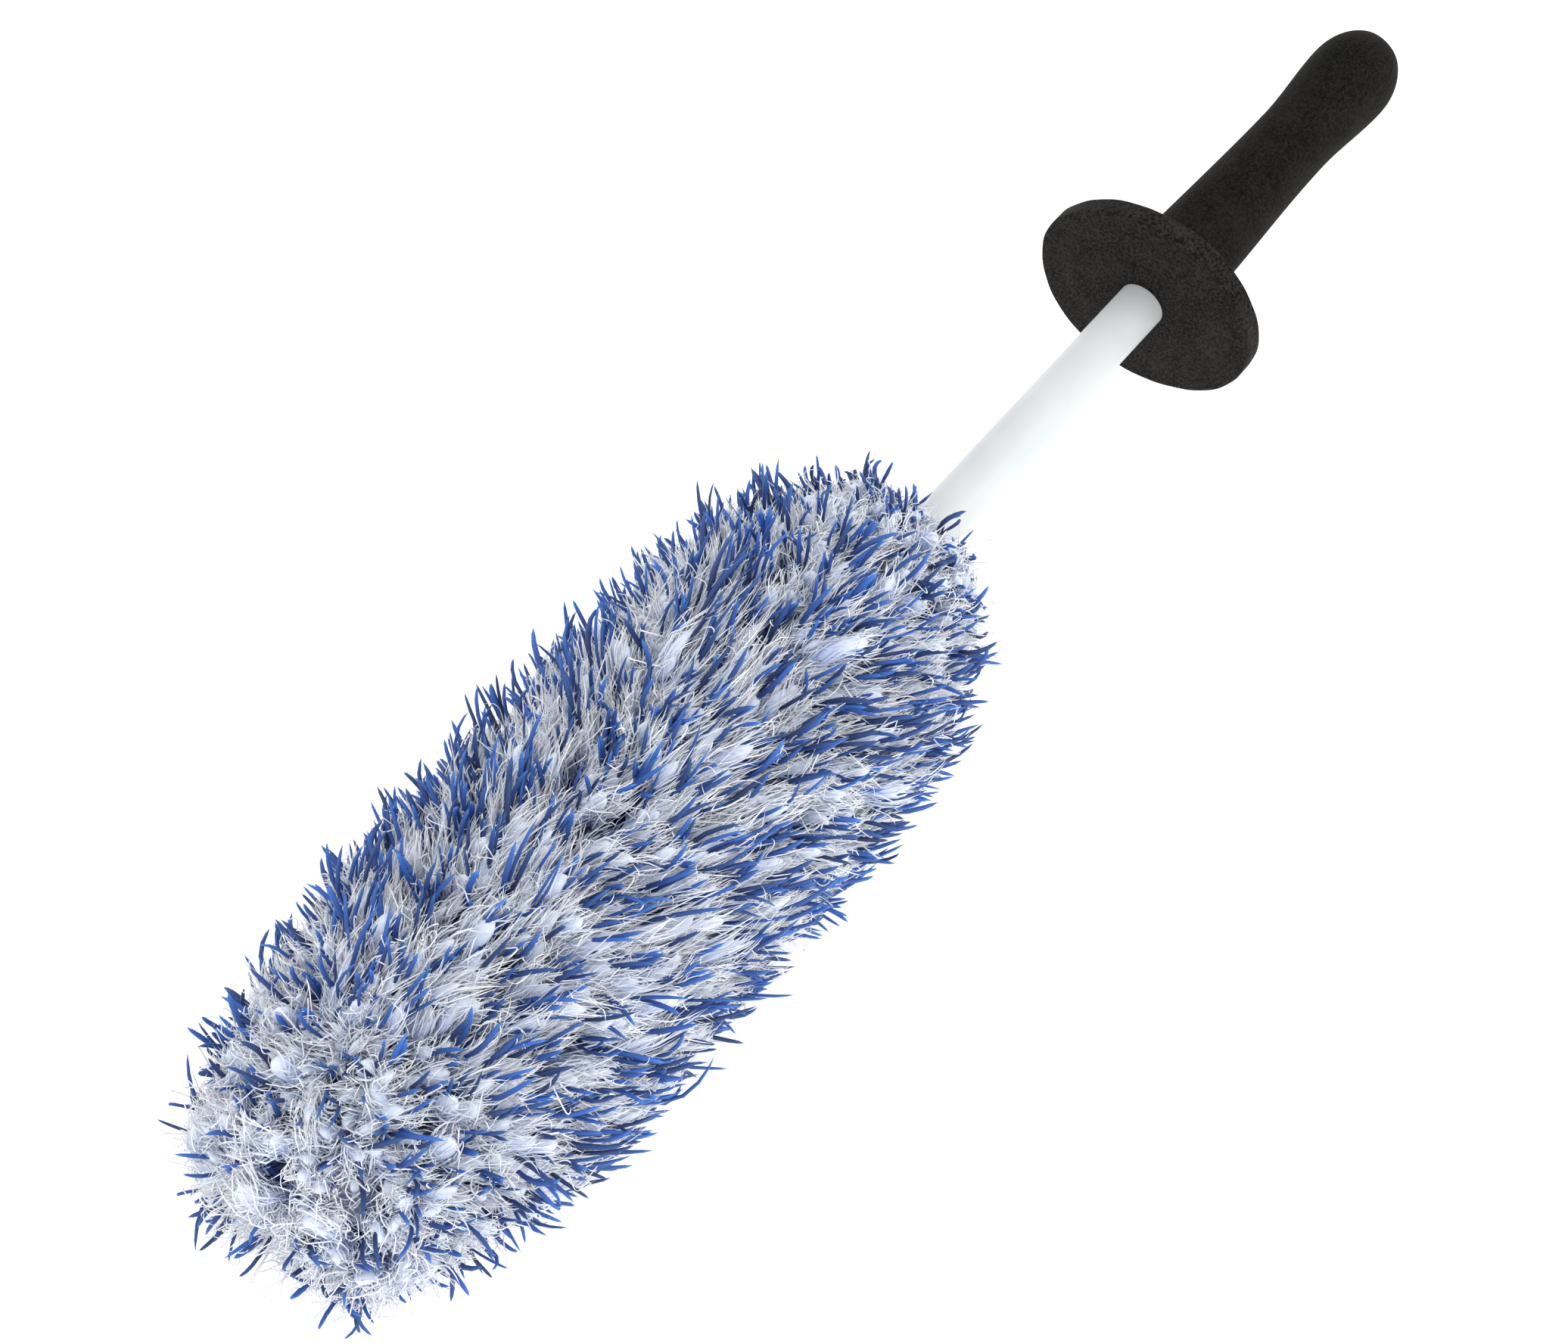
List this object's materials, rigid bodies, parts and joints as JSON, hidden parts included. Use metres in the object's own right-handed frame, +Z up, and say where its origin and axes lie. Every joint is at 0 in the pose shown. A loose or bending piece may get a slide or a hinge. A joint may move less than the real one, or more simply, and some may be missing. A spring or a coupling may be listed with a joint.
{
  "type": "wheel brush",
  "caption": "Long round brush with a soft long-pile cover over a foam-cored head, a plain plastic stem, a foam guard disc and a contoured foam grip.",
  "frame": {"origin": "on the brush's axis at the middle of the foam grip, where a hand holds it", "axes": "+X along the stem from the grip towards the head's tip, +Z up and +Y to the side as it lies; the brush is round about X, with the cover's side seam at -Y"},
  "size_m": [0.4664, 0.0968, 0.0968],
  "materials": {
    "stem_plastic": "natural polypropylene, milky, satin",
    "grip_foam": "closed-cell foam, fine matt skin",
    "guard_foam": "closed-cell foam, cut face",
    "core_foam": "closed-cell foam, pale grey",
    "backing_knit": "knitted backing",
    "seam_knit": "knitted, overlocked edge",
    "elastic": "covered elastic cord",
    "pile_blue_white": "long split-fibre pile, blue and white",
    "pile_white": "long split-fibre pile, mostly white"
  },
  "bodies": {
    "handle": {"stem": "stem_plastic", "grip": "grip_foam", "guard": "guard_foam", "foam_core": "core_foam", "tip_pad": "core_foam"},
    "cover": {"backing_tube": "backing_knit", "backing_tip": "backing_knit", "side_seam": "seam_knit", "tip_seam": "seam_knit", "neck_gather": "backing_knit", "neck_elastic": "elastic", "pile_side": "pile_blue_white", "pile_tip": "pile_white"}
  },
  "joints": [
    {"name": "cover_pull_off", "type": "slide", "parent": "handle", "child": "cover", "axis": [1, 0, 0], "range_m": [0, 0.24], "deforming": ["neck_gather", "neck_elastic"]}
  ]
}
